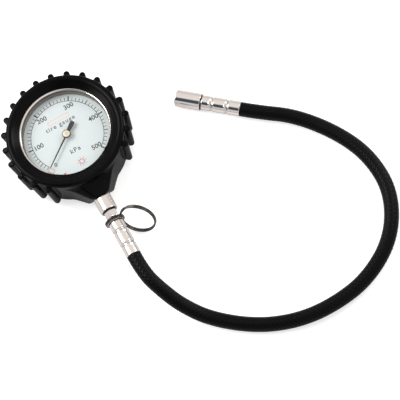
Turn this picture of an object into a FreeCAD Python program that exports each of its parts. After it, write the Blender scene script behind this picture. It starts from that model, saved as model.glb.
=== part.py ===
"""Tyre pressure gauge: dial gauge in a lugged rubber boot, key ring, braided hose and straight valve chuck.

Millimetres. The gauge lies on its back. The origin is the centre of the boot's flat back face, +Z runs
out through the dial along its axis, +Y is up the dial, and the stem leaves along -Y.
"""
import FreeCAD, Part
import math
import os

os.makedirs("parts", exist_ok=True)

Vector = FreeCAD.Vector
X_AXIS, Y_AXIS, Z_AXIS = Vector(1, 0, 0), Vector(0, 1, 0), Vector(0, 0, 1)

# Boot
BOOT_R, BOOT_FACE_Z, BOOT_BACK = 37.5, 30.6, 2.6
BUMPER_R, BUMPER_TOP_R, BOOT_HEIGHT = 38.4, 35.9, 33.2
POCKET_R, LIP_R, LIP_Z, LIP_SHIFT = 31.45, 29.55, 29.6, (-0.25, 0.5)
LUG_PITCH, LUG_PHASE, LUG_FIRST, LUG_LAST = 15.0, 2.2, -45.0, 225.0
LUG_FRONT_R, LUG_BACK_R, LUG_FRONT_Z, LUG_BACK_Z = 42.2, 40.2, 30.3, 3.2
LUG_FRONT_WIDTH, LUG_BACK_WIDTH = 4.0, 4.3

# Case, bezel, window and dial
CASE_R, CASE_WALL, CASE_BACK_Z, CASE_TOP_Z = 30.8, 1.0, 2.8, 29.0
BEZEL_R, BEZEL_OPENING_R, BEZEL_SKIRT_Z = 31.4, 28.6, 23.5
LENS_R, LENS_Z, LENS_THICK = 29.7, 27.2, 1.8
DIAL_R, DIAL_Z, DIAL_THICK = 29.7, 23.1, 0.6

# Stem, hose and chuck
STEM_Z, STEM_R = 17.0, 5.7
NECK_START, NECK_END = 31.6, 57.0
HEX_START, HEX_END, HEX_FLATS = 57.8, 62.6, 8.0
COLLAR_Y, COLLAR_R, COLLAR_WIRE = 64.6, 6.1, 0.7
FERRULE_R, FERRULE_BORE, FERRULE_START, FERRULE_END = 5.0, 4.2, 65.9, 90.8
CRIMP_OFFSETS = (6.7, 16.9)
HOSE_R, HOSE_BORE, HOSE_END_R = 4.75, 2.4, 4.15
TAIL_R, AIR_R, THREAD_R, NIPPLE_END = 2.35, 1.2, 3.0, 88.5

# The hose from the stem's ferrule mouth to the chuck's, as it lies on the floor
HOSE_ROUTE = [
    (0, -90.8, 17), (0, -104.3, 17), (3.2, -118.3, 15.2), (10, -131.8, 10.4), (22, -147.4, 5.6),
    (44, -165, 4.8), (67, -175.2, 4.8), (91, -178.6, 4.8), (117.8, -174.2, 4.8),
    (143.6, -158.9, 4.8), (159.8, -133, 4.8), (160.2, -106, 4.8), (150.4, -81.4, 4.8),
    (131.7, -58.2, 4.9), (114.379, -43.007, 5.6), (105.447, -34.993, 5.6)]

# Key ring
SPLIT_CENTRE, SPLIT_NORMAL = Vector(13.4, -68.8, 12.2), Vector(-0.578, -0.719, 0.387)
SPLIT_R, SPLIT_WIRE = 11.3, 0.65

# Chuck
CHUCK_MOUTH, CHUCK_ANGLE = Vector(73.517, -6.343, 5.6), -41.9
CHUCK_R, CHUCK_LENGTH, VALVE_BORE_R, VALVE_DEPTH = 5.55, 16.6, 4.1, 9.0
CHUCK_FERRULE_START, CHUCK_NIPPLE_END, CHUCK_FERRULE_END = 17.3, 40.6, 42.9

# Movement
MODULE, PINION_TEETH, SECTOR_WHEEL_TEETH = 0.28, 12, 96
PRESSURE_ANGLE, ADDENDUM, DEDENDUM, BACKLASH = math.radians(25), 0.8, 1.25, 0.10
SECTOR_PIVOT = Vector(10.2, -11.16, 0)
TAIL_PIN = Vector(16.5, -12.85, 0)
TIP_PIN = Vector(17.6, -3.74, 0)
SECTOR_TRAVEL = 33.5
POINTER_REST = 52.0
BACK_PLATE_Z, FRONT_PLATE_Z, PLATE_THICK = 8.0, 16.4, 1.2
PILLARS = [(-4.5, 3.5), (12.0, 4.6), (-4.5, -14.5)]
PIVOT_R, SHAFT_R, RUNNING = 0.5, 0.8, 0.04


def write(name, *solids):
    """Write one node, its solids kept apart when there are several."""
    shape = solids[0] if len(solids) == 1 else Part.makeCompound(list(solids))
    pieces = shape.Solids
    if len(pieces) != len(solids) or not all(piece.isValid() for piece in pieces):
        print("CHECK", name, len(pieces), "solids")
    if len(pieces) == 1:
        shape = pieces[0]
    shape.exportStep("parts/" + name + ".step")
    print("%-24s %10.2f mm3" % (name, sum(piece.Volume for piece in pieces)))


def cylinder(radius, low, high, axis=Z_AXIS, x=0.0, y=0.0, z=0.0):
    """A cylinder along an axis, from low to high along it."""
    start = Vector(x, y, z) + axis * low
    return Part.makeCylinder(radius, high - low, start, axis)


def ring(outer, inner, low, high, axis=Z_AXIS, x=0.0, y=0.0, z=0.0):
    """A tube with a flat wall."""
    return cylinder(outer, low, high, axis, x, y, z).cut(cylinder(inner, low - 1, high + 1, axis, x, y, z))


def turned(points):
    """A solid turned about Z from a closed outline of (radius, height) points."""
    corners = [Vector(radius, 0, height) for radius, height in points]
    face = Part.Face(Part.makePolygon(corners + corners[:1]))
    return face.revolve(Vector(0, 0, 0), Z_AXIS, 360)


def plate(points, low, high):
    """A flat plate from a closed outline of (x, y) points."""
    corners = [Vector(x, y, low) for x, y in points]
    return Part.Face(Part.makePolygon(corners + corners[:1])).extrude(Vector(0, 0, high - low))


def box(x0, y0, z0, x1, y1, z1):
    """A box between two corners."""
    return Part.makeBox(x1 - x0, y1 - y0, z1 - z0, Vector(x0, y0, z0))


def stem(radius, start, end):
    """A cylinder on the stem's axis, between two distances below the dial's centre."""
    return Part.makeCylinder(radius, end - start, Vector(0, -start, STEM_Z), Vector(0, -1, 0))


def polar(radius, degrees):
    """A point in the plane of the dial, its angle counted from +X."""
    return (radius * math.cos(math.radians(degrees)), radius * math.sin(math.radians(degrees)))


# --- Rubber boot ---------------------------------------------------------------------------------

def lug(angle):
    """One lug: a round-nosed bar up the boot's side, a little wider and shorter towards the back."""
    wires = []
    for height, reach, width in ((LUG_FRONT_Z, LUG_FRONT_R, LUG_FRONT_WIDTH),
                                 (LUG_BACK_Z, LUG_BACK_R, LUG_BACK_WIDTH)):
        half = width / 2
        root = Vector(BOOT_R - 2.5, -half, height)
        low = Vector(reach - half, -half, height)
        tip = Vector(reach, 0, height)
        high = Vector(reach - half, half, height)
        far = Vector(BOOT_R - 2.5, half, height)
        wires.append(Part.Wire([Part.makeLine(root, low), Part.Arc(low, tip, high).toShape(),
                                Part.makeLine(high, far), Part.makeLine(far, root)]))
    bar = Part.makeLoft(wires, True, True)
    bar.rotate(Vector(0, 0, 0), Z_AXIS, angle + LUG_PHASE)
    return bar


def spout():
    """The boot's nose over the stem: a chamfered block that tapers to a slanted end."""
    wires = []
    for y_low, y_high, half, z_low, z_high, bevel in ((-27.0, -27.0, 21.0, 2.0, 30.0, 6.0),
                                                      (-43.2, -47.6, 7.0, 9.2, 24.6, 2.4)):
        def point(x, z):
            share = (z - z_low) / (z_high - z_low)
            return Vector(x, y_low + (y_high - y_low) * share, z)
        corners = [point(-half, z_low), point(half, z_low), point(half, z_high - bevel),
                   point(half - bevel, z_high), point(bevel - half, z_high), point(-half, z_high - bevel)]
        wires.append(Part.makePolygon(corners + corners[:1]))
    return Part.makeLoft(wires, True, True)


def rubber_boot():
    """The cup, its raised bumper round the window, the lugs and the spout, hollowed for the case."""
    body = turned([(0, 0), (34.9, 0), (35.7, 0.8), (BOOT_R, 26.6), (BUMPER_R - 0.25, 28.8), (BUMPER_R, 30.6),
                   (BUMPER_R - 0.35, 31.9), (BUMPER_R - 1.2, 32.8), (BUMPER_TOP_R, BOOT_HEIGHT),
                   (BUMPER_TOP_R - 1.2, 32.9), (BUMPER_TOP_R - 2.6, 32.1), (30.6, BOOT_FACE_Z), (28.9, 30.0),
                   (28.9, 29.0), (0, 29.0)])
    count = int((LUG_LAST - LUG_FIRST) / LUG_PITCH) + 1
    lugs = [lug(LUG_FIRST + LUG_PITCH * index) for index in range(count)]
    body = body.fuse(lugs + [spout()])
    body = body.cut(cylinder(POCKET_R, BOOT_BACK, LIP_Z))
    body = body.cut(cylinder(LIP_R, LIP_Z - 1, BOOT_FACE_Z + 1, x=LIP_SHIFT[0], y=LIP_SHIFT[1]))
    body = body.cut(stem(STEM_R + 0.02, 20, 60))
    return body


write("rubber_boot", rubber_boot())


# --- Case, bezel, window and dial ----------------------------------------------------------------

def case_screw_places():
    return [(-3.4, -25.5), (3.4, -25.5)]


def case_shell():
    inner = CASE_R - CASE_WALL
    shell = turned([(0, CASE_BACK_Z + 0.2), (CASE_R - 1, CASE_BACK_Z + 0.2), (CASE_R, CASE_BACK_Z + 1.2),
                    (CASE_R, CASE_TOP_Z), (inner, CASE_TOP_Z), (inner, DIAL_Z - DIAL_THICK),
                    (28.6, DIAL_Z - DIAL_THICK), (28.6, DIAL_Z - DIAL_THICK - 1), (inner, 20.6),
                    (inner, 4.4), (inner - 0.4, 4.0), (0, 4.0)])
    shell = shell.cut(stem(4.0, 26, 34))
    for x, y in case_screw_places():
        shell = shell.cut(cylinder(1.25, 0, 6, x=x, y=y))
    return shell


write("case_shell", case_shell())
write("bezel_ring", turned([(CASE_R, BEZEL_SKIRT_Z), (BEZEL_R, BEZEL_SKIRT_Z), (BEZEL_R, 29.2), (31.0, LIP_Z),
                            (29.4, LIP_Z), (28.8, 29.45), (BEZEL_OPENING_R, 29.2), (BEZEL_OPENING_R, 29.0),
                            (CASE_R, 29.0)]))
write("window_lens", cylinder(LENS_R, LENS_Z, LENS_Z + LENS_THICK))
write("spacer_ring", ring(LENS_R, 28.4, DIAL_Z, LENS_Z))
write("dial_plate", ring(DIAL_R, 1.6, DIAL_Z - DIAL_THICK, DIAL_Z))


# --- Socket block, its screws and the movement's frame -------------------------------------------

def socket_block():
    block = box(-5.5, -30.5, BACK_PLATE_Z, 5.5, -18, 20.5).fuse(box(-5.5, -30.5, 4.0, 5.5, -8, BACK_PLATE_Z))
    inner = CASE_R - CASE_WALL
    block = block.common(cylinder(inner, 4.4, 30).fuse(cylinder(inner - 0.4, 0, 4.4)))
    block = block.cut(stem(4.0, 22, 32)).cut(stem(AIR_R, 19.5, 24))
    block = block.cut(cylinder(AIR_R, 0, 8, -X_AXIS, y=-20.6, z=13.5))
    block = block.cut(cylinder(AIR_R, 13.5, STEM_Z + 0.5, y=-20.6))
    for x, y in case_screw_places():
        block = block.cut(cylinder(1.25, 0, 9, x=x, y=y))
    return block.removeSplitter()


def case_screw(x, y):
    return cylinder(1.25, 3.0, 9.0, x=x, y=y).fuse(cylinder(2.1, 2.62, 3.0, x=x, y=y))


block = socket_block()
write("socket_block", block)
write("case_screws", *[case_screw(x, y) for x, y in case_screw_places()])

PLATE_OUTLINE = [(-6.5, -16.6), (14.4, -16.6), (14.4, 6.6), (-6.5, 6.6)]
SHAFTS = [(0, 0), (SECTOR_PIVOT.x, SECTOR_PIVOT.y)]


def movement_plate(low, bores):
    sheet = plate(PLATE_OUTLINE, low, low + PLATE_THICK)
    for (x, y), radius in zip(SHAFTS, bores):
        sheet = sheet.cut(cylinder(radius + RUNNING, low - 1, low + PLATE_THICK + 1, x=x, y=y))
    for x, y in PILLARS:
        sheet = sheet.cut(cylinder(0.8, low - 1, low + PLATE_THICK + 1, x=x, y=y))
    return sheet


write("movement_back_plate", movement_plate(BACK_PLATE_Z, (PIVOT_R, PIVOT_R)))
write("movement_front_plate", movement_plate(FRONT_PLATE_Z, (SHAFT_R, PIVOT_R)))
write("movement_pillars", *[cylinder(1.5, BACK_PLATE_Z + PLATE_THICK, FRONT_PLATE_Z, x=x, y=y)
                            .fuse(cylinder(0.8, BACK_PLATE_Z, BACK_PLATE_Z + PLATE_THICK, x=x, y=y))
                            .cut(cylinder(0.7, 12.4, 17, x=x, y=y)) for x, y in PILLARS])
write("movement_screws", *[cylinder(0.7, 12.6, 18, x=x, y=y).fuse(
    cylinder(1.5, FRONT_PLATE_Z + PLATE_THICK, FRONT_PLATE_Z + PLATE_THICK + 1, x=x, y=y))
    for x, y in PILLARS])


# --- Gears ---------------------------------------------------------------------------------------

def tooth_outline(teeth, centre_angle):
    """Points of one involute tooth about the origin, root to root, as (x, y)."""
    pitch = MODULE * teeth / 2
    base = pitch * math.cos(PRESSURE_ANGLE)
    tip = pitch + MODULE * ADDENDUM
    root = pitch - MODULE * DEDENDUM
    spread = math.tan(PRESSURE_ANGLE) - PRESSURE_ANGLE
    half_at_base = math.pi / 2 / teeth - BACKLASH / 2 / pitch + spread
    flank = [(root, half_at_base)] if root < base else []
    start = max(base, root)
    for step in range(6):
        radius = start + (tip - start) * step / 5
        ratio = math.acos(min(1.0, base / radius))
        flank.append((radius, half_at_base - (math.tan(ratio) - ratio)))
    side = [(radius, centre_angle - half) for radius, half in flank]
    side += [(radius, centre_angle + half) for radius, half in reversed(flank)]
    return [(radius * math.cos(angle), radius * math.sin(angle)) for radius, angle in side]


def pinion():
    toward_sector = math.atan2(SECTOR_PIVOT.y, SECTOR_PIVOT.x)
    step = 2 * math.pi / PINION_TEETH
    outline = []
    for index in range(PINION_TEETH):
        outline += tooth_outline(PINION_TEETH, toward_sector + (index + 0.5) * step)
    return plate(outline, 10.9, 13.3)


def sector():
    """A pie of the 96-tooth wheel, its hub, its arbor and its tail with the link's pin."""
    toward_pinion = math.atan2(-SECTOR_PIVOT.y, -SECTOR_PIVOT.x)
    step = 2 * math.pi / SECTOR_WHEEL_TEETH
    before = int((math.radians(SECTOR_TRAVEL) + 0.12) / step)
    outline = [(0, 0)]
    for index in range(-before, 3):
        outline += tooth_outline(SECTOR_WHEEL_TEETH, toward_pinion + index * step)
    wheel = plate(outline, 11.5, 12.7)
    window = []
    low = toward_pinion - before * step
    for share in range(7):
        angle = low + 0.12 + (toward_pinion + 2 * step - low - 0.24) * share / 6
        window.append((10.6 * math.cos(angle), 10.6 * math.sin(angle)))
    window.append((4.2 * math.cos(toward_pinion - 0.15), 4.2 * math.sin(toward_pinion - 0.15)))
    window.append((4.2 * math.cos(toward_pinion - 0.45), 4.2 * math.sin(toward_pinion - 0.45)))
    wheel = wheel.cut(plate(window, 11, 13))
    wheel.translate(SECTOR_PIVOT)
    x, y = SECTOR_PIVOT.x, SECTOR_PIVOT.y
    tail_angle = math.degrees(math.atan2(TAIL_PIN.y - y, TAIL_PIN.x - x))
    tail = box(0, -0.9, 11.5, (TAIL_PIN - SECTOR_PIVOT).Length, 0.9, 12.7)
    tail.rotate(Vector(0, 0, 0), Z_AXIS, tail_angle)
    tail.translate(SECTOR_PIVOT)
    shape = wheel.fuse([tail, cylinder(1.1, 11.5, 12.7, x=TAIL_PIN.x, y=TAIL_PIN.y),
                        cylinder(PIVOT_R, 11.5, 14.3, x=TAIL_PIN.x, y=TAIL_PIN.y),
                        cylinder(2.4, 11.5, 12.7, x=x, y=y),
                        cylinder(SHAFT_R, 9.3, 16.3, x=x, y=y),
                        cylinder(PIVOT_R, 8.1, 17.5, x=x, y=y)])
    return shape.removeSplitter()


write("pinion_shaft", pinion().fuse([cylinder(SHAFT_R, 9.3, 26.6), cylinder(PIVOT_R, 8.1, 9.4)]).removeSplitter())
write("sector_gear", sector())


def hair_spring():
    """A flat spiral strip between the pinion and a stud beside it."""
    turns, points, inner, outer, strip = 4, 96, 1.3, 4.6, 0.06
    line = []
    for index in range(points + 1):
        angle = 2 * math.pi * turns * index / points
        line.append((inner + (outer - inner) * index / points, angle))
    rim = [((radius + strip) * math.cos(angle), (radius + strip) * math.sin(angle)) for radius, angle in line]
    rim += [((radius - strip) * math.cos(angle), (radius - strip) * math.sin(angle))
            for radius, angle in reversed(line)]
    return plate(rim, 14.6, 15.4)


write("hair_spring", hair_spring())


# --- Bourdon tube, its tip and the link ----------------------------------------------------------

def swept_section(inner, outer, low, high, start, end):
    """A rectangle turned about the dial's axis, from one angle to another."""
    corners = [Vector(inner, 0, low), Vector(outer, 0, low), Vector(outer, 0, high), Vector(inner, 0, high)]
    shape = Part.Face(Part.makePolygon(corners + corners[:1])).revolve(Vector(0, 0, 0), Z_AXIS, end - start)
    shape.rotate(Vector(0, 0, 0), Z_AXIS, start)
    return shape


TUBE_FROM, TUBE_TO = -8.0, 262.0
tube = swept_section(19.8, 22.2, 9.6, 17.4, TUBE_FROM, TUBE_TO)
tube = tube.cut(swept_section(20.2, 21.8, 10.0, 17.0, TUBE_FROM - 1, TUBE_TO + 1)).cut(box(-5.5, -30, 4, 5.5, -15, 22))
write("bourdon_tube", tube.Solids[0])
tip = swept_section(19.4, 22.6, 9.2, 17.8, -12.0, TUBE_FROM)
lug_plate = plate([polar(19.6, -12), polar(19.6, -8.2), (TIP_PIN.x + 0.2, TIP_PIN.y + 1.2),
                   (TIP_PIN.x - 1.2, TIP_PIN.y), (TIP_PIN.x + 0.2, TIP_PIN.y - 0.8)], 11.5, 12.7)
write("tube_tip", tip.fuse([lug_plate, cylinder(1.1, 11.5, 12.7, x=TIP_PIN.x, y=TIP_PIN.y),
                            cylinder(PIVOT_R, 11.5, 14.3, x=TIP_PIN.x, y=TIP_PIN.y)]).removeSplitter())


def link():
    along = TAIL_PIN - TIP_PIN
    bar = box(0, -0.8, 12.9, along.Length, 0.8, 13.7)
    bar.rotate(Vector(0, 0, 0), Z_AXIS, math.degrees(math.atan2(along.y, along.x)))
    bar.translate(TIP_PIN)
    bar = bar.fuse([cylinder(1.25, 12.9, 13.7, x=pin.x, y=pin.y) for pin in (TAIL_PIN, TIP_PIN)])
    bar = bar.cut(cylinder(PIVOT_R + RUNNING, 12, 15, x=TIP_PIN.x, y=TIP_PIN.y))
    return bar.cut(cylinder(PIVOT_R + 0.5, 12, 15, x=TAIL_PIN.x, y=TAIL_PIN.y)).removeSplitter()


write("link", link())


# --- Pointer -------------------------------------------------------------------------------------

def at_rest(shape):
    """Turn a pointer piece modelled along -Y to where it rests, clockwise from straight down."""
    shape.rotate(Vector(0, 0, 0), Z_AXIS, -POINTER_REST)
    return shape


needle = plate([(-0.25, -24.5), (0.25, -24.5), (0.55, -1), (1.1, 2.2), (1.6, 7.6), (1.2, 9.4),
                (-1.2, 9.4), (-1.6, 7.6), (-1.1, 2.2), (-0.55, -1)], 25.2, 25.5)
needle = needle.fuse(cylinder(2.0, 25.2, 25.5)).cut(cylinder(SHAFT_R, 25, 26))
write("pointer", at_rest(needle))
hub = cylinder(2.75, 25.5, 26.6).cut(cylinder(SHAFT_R, 25, 26.1)).cut(cylinder(SHAFT_R, 26, 27))
write("pointer_hub", hub)


# --- Stem and gauge end of the hose --------------------------------------------------------------

def hex_prism(flats, start, end):
    corners = [Vector(flats / math.sqrt(3) * math.cos(math.pi / 3 * side + math.pi / 6), 0,
                      flats / math.sqrt(3) * math.sin(math.pi / 3 * side + math.pi / 6)) for side in range(6)]
    prism = Part.Face(Part.makePolygon(corners + corners[:1])).extrude(Vector(0, start - end, 0))
    prism.translate(Vector(0, -start, STEM_Z))
    return prism


def ferrule(length, bore, radius):
    """A ferrule along -Y from the origin, with its two crimp grooves."""
    shape = Part.makeCylinder(radius, length, Vector(0, 0, 0), Vector(0, -1, 0))
    shape = shape.cut(Part.makeCylinder(bore, length + 2, Vector(0, 1, 0), Vector(0, -1, 0)))
    for offset in CRIMP_OFFSETS:
        groove = Part.makeTorus(radius + 0.35, 0.8, Vector(0, -offset, 0), Y_AXIS)
        shape = shape.cut(groove)
    return shape


neck = stem(STEM_R, NECK_START, NECK_END).fuse(stem(4.0, 22.6, NECK_START)).cut(stem(1.5, 20, 50.5))
neck = neck.cut(stem(THREAD_R, 50, 58))
neck = neck.makeChamfer(0.4, [edge for edge in neck.Edges if abs(edge.BoundBox.YMin + NECK_END) < 0.01
                              and edge.BoundBox.YLength < 0.01 and edge.Length > 30])
write("neck_adaptor", neck)
write("neck_washer", stem(4.3, NECK_END, HEX_START).cut(stem(THREAD_R, 50, 60)))

nipple = stem(THREAD_R, 50.5, HEX_START).fuse([hex_prism(HEX_FLATS, HEX_START, HEX_END), stem(3.6, HEX_END, 63.3),
                                              stem(5.75, 63.3, FERRULE_START), stem(TAIL_R, FERRULE_START, NIPPLE_END)])
nipple = nipple.cut(Part.makeTorus(COLLAR_R, COLLAR_WIRE + RUNNING, Vector(0, -COLLAR_Y, STEM_Z), Y_AXIS))
write("hose_nipple", nipple.cut(stem(AIR_R, 50, 90)))
gauge_ferrule = ferrule(FERRULE_END - FERRULE_START, FERRULE_BORE, FERRULE_R)
gauge_ferrule.translate(Vector(0, -FERRULE_START, STEM_Z))
write("gauge_ferrule", gauge_ferrule)
write("collar_ring", Part.makeTorus(COLLAR_R, COLLAR_WIRE, Vector(0, -COLLAR_Y, STEM_Z), Y_AXIS))


def split_ring():
    """Two turns of wire, one on the other, closed here as one double ring."""
    lift = SPLIT_WIRE * 0.95
    pair = [Part.makeTorus(SPLIT_R, SPLIT_WIRE, Vector(0, 0, side * lift), Z_AXIS) for side in (-1, 1)]
    web = ring(SPLIT_R + 0.3, SPLIT_R - 0.3, -lift, lift)
    shape = pair[0].fuse([pair[1], web])
    turn = FreeCAD.Rotation(Z_AXIS, SPLIT_NORMAL)
    shape.Placement = FreeCAD.Placement(SPLIT_CENTRE, turn)
    return shape


write("split_ring", split_ring())


# --- Chuck end of the hose -----------------------------------------------------------------------

def to_chuck(shape):
    """Carry a piece from the chuck's own frame, mouth at the origin and hose along +X, to its place."""
    shape.rotate(Vector(0, 0, 0), Z_AXIS, CHUCK_ANGLE)
    shape.translate(CHUCK_MOUTH)
    return shape


def rod(radius, start, end):
    return cylinder(radius, start, end, X_AXIS)


body = rod(CHUCK_R, 0, CHUCK_LENGTH).cut(rod(VALVE_BORE_R, -1, VALVE_DEPTH)).cut(rod(4.3, VALVE_DEPTH, 11.4))
body = body.cut(rod(1.8, 10, 13)).cut(rod(THREAD_R, 12.6, 18))
rims = [edge for edge in body.Edges if edge.Length > 30 and edge.BoundBox.XLength < 0.01
        and (edge.BoundBox.XMin < 0.01 or edge.BoundBox.XMin > CHUCK_LENGTH - 0.01)]
write("chuck_body", to_chuck(body.makeChamfer(0.4, rims)))
write("chuck_seal", to_chuck(rod(4.3, VALVE_DEPTH, 11.4).cut(rod(1.5, 8, 12))))
write("depressor_pin", to_chuck(rod(0.7, 9.1, 12.0).fuse(rod(1.78, 11.4, 12.6)).cut(rod(0.35, 11.8, 13))))
write("chuck_washer", to_chuck(rod(4.3, CHUCK_LENGTH, CHUCK_FERRULE_START).cut(rod(THREAD_R, 10, 20))))
write("chuck_nipple", to_chuck(rod(THREAD_R, 13.2, CHUCK_FERRULE_START).fuse(
    rod(TAIL_R, CHUCK_FERRULE_START, CHUCK_NIPPLE_END)).cut(rod(AIR_R, 10, 45))))
chuck_ferrule = ferrule(CHUCK_FERRULE_END - CHUCK_FERRULE_START, FERRULE_BORE, FERRULE_R)
chuck_ferrule.rotate(Vector(0, 0, 0), Z_AXIS, 90)
chuck_ferrule.translate(Vector(CHUCK_FERRULE_START, 0, 0))
chuck_cap = rod(FERRULE_R, CHUCK_FERRULE_START, CHUCK_FERRULE_START + 1.0).cut(rod(TAIL_R, 10, 30))
write("chuck_ferrule", to_chuck(chuck_ferrule.fuse(chuck_cap)))


# --- Hose ----------------------------------------------------------------------------------------

def hose_path(points):
    """Straight runs joined by tangent arcs, each as large as its two runs allow."""
    corners = [Vector(*point) for point in points]
    edges = []
    start = corners[0]
    for before, corner, after in zip(corners, corners[1:], corners[2:]):
        back = (before - corner).normalize()
        ahead = (after - corner).normalize()
        turn = math.pi - back.getAngle(ahead)
        shorter = min((before - corner).Length, (after - corner).Length)
        radius = 0.45 * shorter / math.tan(turn / 2)
        middle = corner + (back + ahead).normalize() * radius * (1 / math.cos(turn / 2) - 1)
        entry = corner + back * 0.45 * shorter
        leave = corner + ahead * 0.45 * shorter
        edges.append(Part.LineSegment(start, entry).toShape())
        edges.append(Part.Arc(entry, middle, leave).toShape())
        print("hose turn %5.1f deg, radius %6.1f mm" % (math.degrees(turn), radius))
        start = leave
    edges.append(Part.LineSegment(start, corners[-1]).toShape())
    return Part.Wire(edges)


def swept(path, radius):
    first = path.Edges[0]
    start, direction = first.valueAt(first.FirstParameter), first.tangentAt(first.FirstParameter)
    circle = Part.Wire([Part.Circle(start, direction, radius).toShape()])
    return path.makePipeShell([circle], True, False)


path = hose_path(HOSE_ROUTE)
tube = swept(path, HOSE_R)
print("hose path %.1f mm, tube %.0f mm3, section times length %.0f mm3" % (
    path.Length, tube.Volume, math.pi * HOSE_R ** 2 * path.Length))
gauge_end = stem(HOSE_END_R, FERRULE_START + 0.3, FERRULE_END)
chuck_end = to_chuck(rod(HOSE_END_R, CHUCK_FERRULE_START + 1.2, CHUCK_FERRULE_END))
hose = tube.fuse([gauge_end, chuck_end]).cut(stem(HOSE_BORE, 60, NIPPLE_END + 0.3))
write("hose", hose.cut(to_chuck(rod(HOSE_BORE, 10, CHUCK_NIPPLE_END + 0.3))))
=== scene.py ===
"""A dial tyre pressure gauge lying on its back, with its boot, key ring, braided hose and valve chuck."""
import math

import bmesh
import bpy
import numpy as np
from mathutils import Matrix, Vector


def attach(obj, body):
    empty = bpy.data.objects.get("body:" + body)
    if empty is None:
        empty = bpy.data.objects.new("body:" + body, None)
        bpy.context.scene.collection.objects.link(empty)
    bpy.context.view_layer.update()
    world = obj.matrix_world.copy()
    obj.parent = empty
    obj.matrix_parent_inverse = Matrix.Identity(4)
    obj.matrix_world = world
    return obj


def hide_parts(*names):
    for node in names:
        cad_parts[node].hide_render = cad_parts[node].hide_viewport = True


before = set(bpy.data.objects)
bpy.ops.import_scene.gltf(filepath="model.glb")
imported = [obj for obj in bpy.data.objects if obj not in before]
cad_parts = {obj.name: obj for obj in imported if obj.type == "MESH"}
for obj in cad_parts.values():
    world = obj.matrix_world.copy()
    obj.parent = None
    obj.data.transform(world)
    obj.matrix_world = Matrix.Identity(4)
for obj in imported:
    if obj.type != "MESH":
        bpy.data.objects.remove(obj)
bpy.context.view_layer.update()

# --- Camera -------------------------------------------------------------------------------------
# A long lens looks down on the dial from the stem's side, turned so that the stem points down and
# to the right.
camera = bpy.data.objects.new("camera", bpy.data.cameras.new("camera"))
bpy.context.collection.objects.link(camera)
camera.data.sensor_width = 36.0
camera.data.lens = 154.0
camera.data.clip_start = 0.05
sight = Vector((-0.0432, -0.3468, 0.9369)).normalized()
right = Vector((0.8724, -0.4702, -0.1338))
right = (right - sight * right.dot(sight)).normalized()
turn = Matrix((right, sight.cross(right), sight)).transposed()
camera.matrix_world = Matrix.Translation((0.0066, -0.4521, 1.0219)) @ turn.to_4x4()
bpy.context.scene.camera = camera

# --- Floor and light ----------------------------------------------------------------------------
# A white paper sweep, lit almost without shadows: a white room, one soft box from the upper left and
# a weaker one from the right. A grey card hangs above, for the chrome to show as a dark band.
bpy.context.scene.view_settings.view_transform = "Standard"


def linear(colour):
    """The linear colour of an sRGB hex value."""
    parts = [int(colour[i:i + 2], 16) / 255 for i in (1, 3, 5)]
    return tuple(v / 12.92 if v <= 0.04045 else ((v + 0.055) / 1.055) ** 2.4 for v in parts) + (1.0,)


def node(tree, kind, links=(), **settings):
    """Add a node: its settings, and for each socket a value or the socket that feeds it."""
    made = tree.nodes.new(kind)
    for name, value in settings.items():
        setattr(made, name, value)
    for socket, source in links:
        if isinstance(source, bpy.types.NodeSocket):
            tree.links.new(source, made.inputs[socket])
        else:
            made.inputs[socket].default_value = source
    return made


def surface(name, **sockets):
    """A material's tree and shader, with the values that are the same all over it."""
    material = bpy.data.materials.new(name)
    material.use_nodes = True
    shader = material.node_tree.nodes["Principled BSDF"]
    for socket, value in sockets.items():
        shader.inputs[socket.replace("_", " ")].default_value = value
    return material, material.node_tree, shader


def noise(tree, size, detail):
    """Cloudy variation fixed to the object, its clouds about so many millimetres across."""
    place = node(tree, "ShaderNodeTexCoord").outputs["Object"]
    clouds = node(tree, "ShaderNodeTexNoise",
                  [("Vector", place), ("Scale", per_mm(size)), ("Detail", detail)])
    return clouds.outputs["Fac"]


def per_mm(size):
    """The scale of a pattern that repeats about every so many millimetres."""
    return 1000.0 / size


def between(tree, share, first, second):
    """A colour between two sRGB hex values."""
    mixed = node(tree, "ShaderNodeMix", [("Factor", share), ("A", linear(first)), ("B", linear(second))],
                 data_type="RGBA")
    return mixed.outputs[2]


floor = bpy.data.objects.new("floor", bpy.data.meshes.new("floor"))
floor.data.from_pydata([(-4, -4, 0), (4, -4, 0), (4, 4, 0), (-4, 4, 0)], [], [(0, 1, 2, 3)])
bpy.context.collection.objects.link(floor)
# Matt paper, overexposed in the picture but not in the chrome, so that shadows on it nearly vanish.
paper, tree, shader = surface("white_paper_sweep", Roughness=0.95)
shader.inputs["Base Color"].default_value = linear("#dcdcdc")
shader.inputs["Emission Color"].default_value = linear("#ffffff")
seen = node(tree, "ShaderNodeLightPath").outputs["Is Camera Ray"]
lift = node(tree, "ShaderNodeMath", [(0, seen), (1, 0.55)], operation="MULTIPLY")
tree.links.new(lift.outputs[0], shader.inputs["Emission Strength"])
floor.data.materials.append(paper)

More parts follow.
